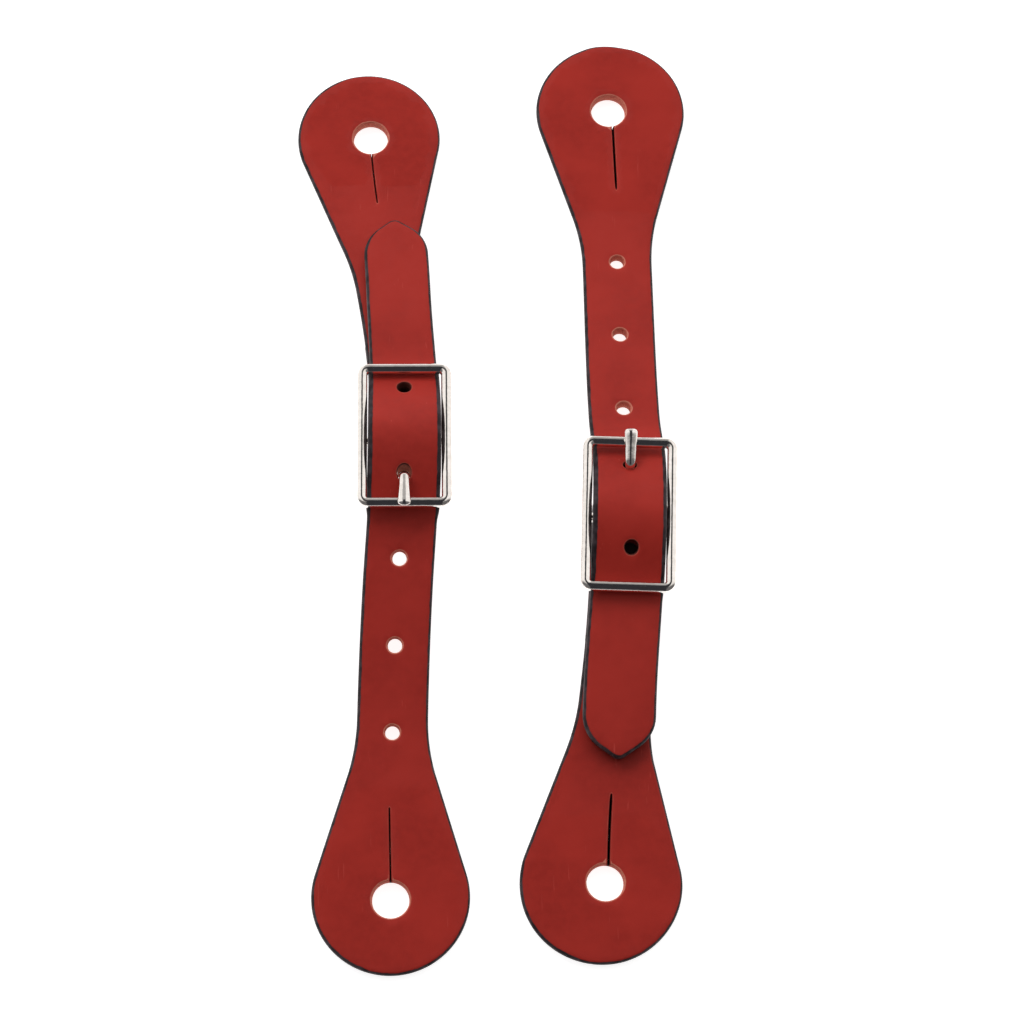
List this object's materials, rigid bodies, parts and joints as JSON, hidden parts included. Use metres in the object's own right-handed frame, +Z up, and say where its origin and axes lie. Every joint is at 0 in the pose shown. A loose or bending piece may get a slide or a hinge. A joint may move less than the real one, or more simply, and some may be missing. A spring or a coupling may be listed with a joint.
{
  "type": "spur straps",
  "caption": "Pair of western leather spur straps, each a punched billet buckled to a folded buckle strap by a centre-bar buckle, with slit button holes in the round heads.",
  "frame": {"origin": "bottom centre of the pair's bounding box, on the surface that the straps lie on", "axes": "+Z up from the surface, +Y along the straps towards the left strap's buckle-strap head, +X from the left strap to the right strap"},
  "size_m": [0.109, 0.2658, 0.0201],
  "materials": {
    "leather": "satin",
    "nickel": "polished"
  },
  "bodies": {
    "left_strap": {"left_buckle_strap": "leather", "left_billet": "leather", "left_rivet_stud": "nickel", "left_rivet_cap": "nickel"},
    "left_billet_end": {"left_billet_head": "leather"},
    "left_buckle_strap_end": {"left_buckle_strap_head": "leather"},
    "left_frame": {"left_buckle_frame": "nickel"},
    "left_tongue": {"left_tongue": "nickel"},
    "right_strap": {"right_buckle_strap": "leather", "right_billet": "leather", "right_rivet_stud": "nickel", "right_rivet_cap": "nickel"},
    "right_billet_end": {"right_billet_head": "leather"},
    "right_buckle_strap_end": {"right_buckle_strap_head": "leather"},
    "right_frame": {"right_buckle_frame": "nickel"},
    "right_tongue": {"right_tongue": "nickel"}
  },
  "joints": [
    {"name": "left_frame_rock", "type": "hinge", "parent": "left_strap", "child": "left_frame", "pos_m": [-0.02595, 0.00987, 0.0106], "axis": [0.9999, -0.014, 0], "range_deg": [0, 1.2]},
    {"name": "left_tongue_lift", "type": "hinge", "parent": "left_frame", "child": "left_tongue", "pos_m": [-0.02595, 0.00987, 0.0106], "axis": [-0.9999, 0.014, 0], "range_deg": [0, 5]},
    {"name": "left_billet_flex", "type": "hinge", "parent": "left_strap", "child": "left_billet_end", "pos_m": [-0.02637, -0.02012, 0.00864], "axis": [-0.9999, 0.014, 0], "range_deg": [0, 60], "stiffness_Nm_per_rad": 0.26, "springref_deg": -2.86},
    {"name": "left_buckle_strap_flex", "type": "hinge", "parent": "left_strap", "child": "left_buckle_strap_end", "pos_m": [-0.025, 0.07787, 0.00212], "axis": [0.9999, -0.014, 0], "range_deg": [0, 40], "stiffness_Nm_per_rad": 0.26, "springref_deg": -2.86},
    {"name": "right_frame_rock", "type": "hinge", "parent": "right_strap", "child": "right_frame", "pos_m": [0.03325, -0.01323, 0.0106], "axis": [-0.9986, 0.0523, 0], "range_deg": [0, 1.2]},
    {"name": "right_tongue_lift", "type": "hinge", "parent": "right_frame", "child": "right_tongue", "pos_m": [0.03325, -0.01323, 0.0106], "axis": [0.9986, -0.0523, 0], "range_deg": [0, 5]},
    {"name": "right_billet_flex", "type": "hinge", "parent": "right_strap", "child": "right_billet_end", "pos_m": [0.03482, 0.01673, 0.00864], "axis": [0.9986, -0.0523, 0], "range_deg": [0, 60], "stiffness_Nm_per_rad": 0.26, "springref_deg": -2.86},
    {"name": "right_buckle_strap_flex", "type": "hinge", "parent": "right_strap", "child": "right_buckle_strap_end", "pos_m": [0.02969, -0.08113, 0.00212], "axis": [-0.9986, 0.0523, 0], "range_deg": [0, 40], "stiffness_Nm_per_rad": 0.26, "springref_deg": -2.86},
    {"name": "right_strap_lift", "type": "slide", "parent": "left_strap", "child": "right_strap", "axis": [0, 0, 1], "range_m": [0, 0.15]}
  ]
}
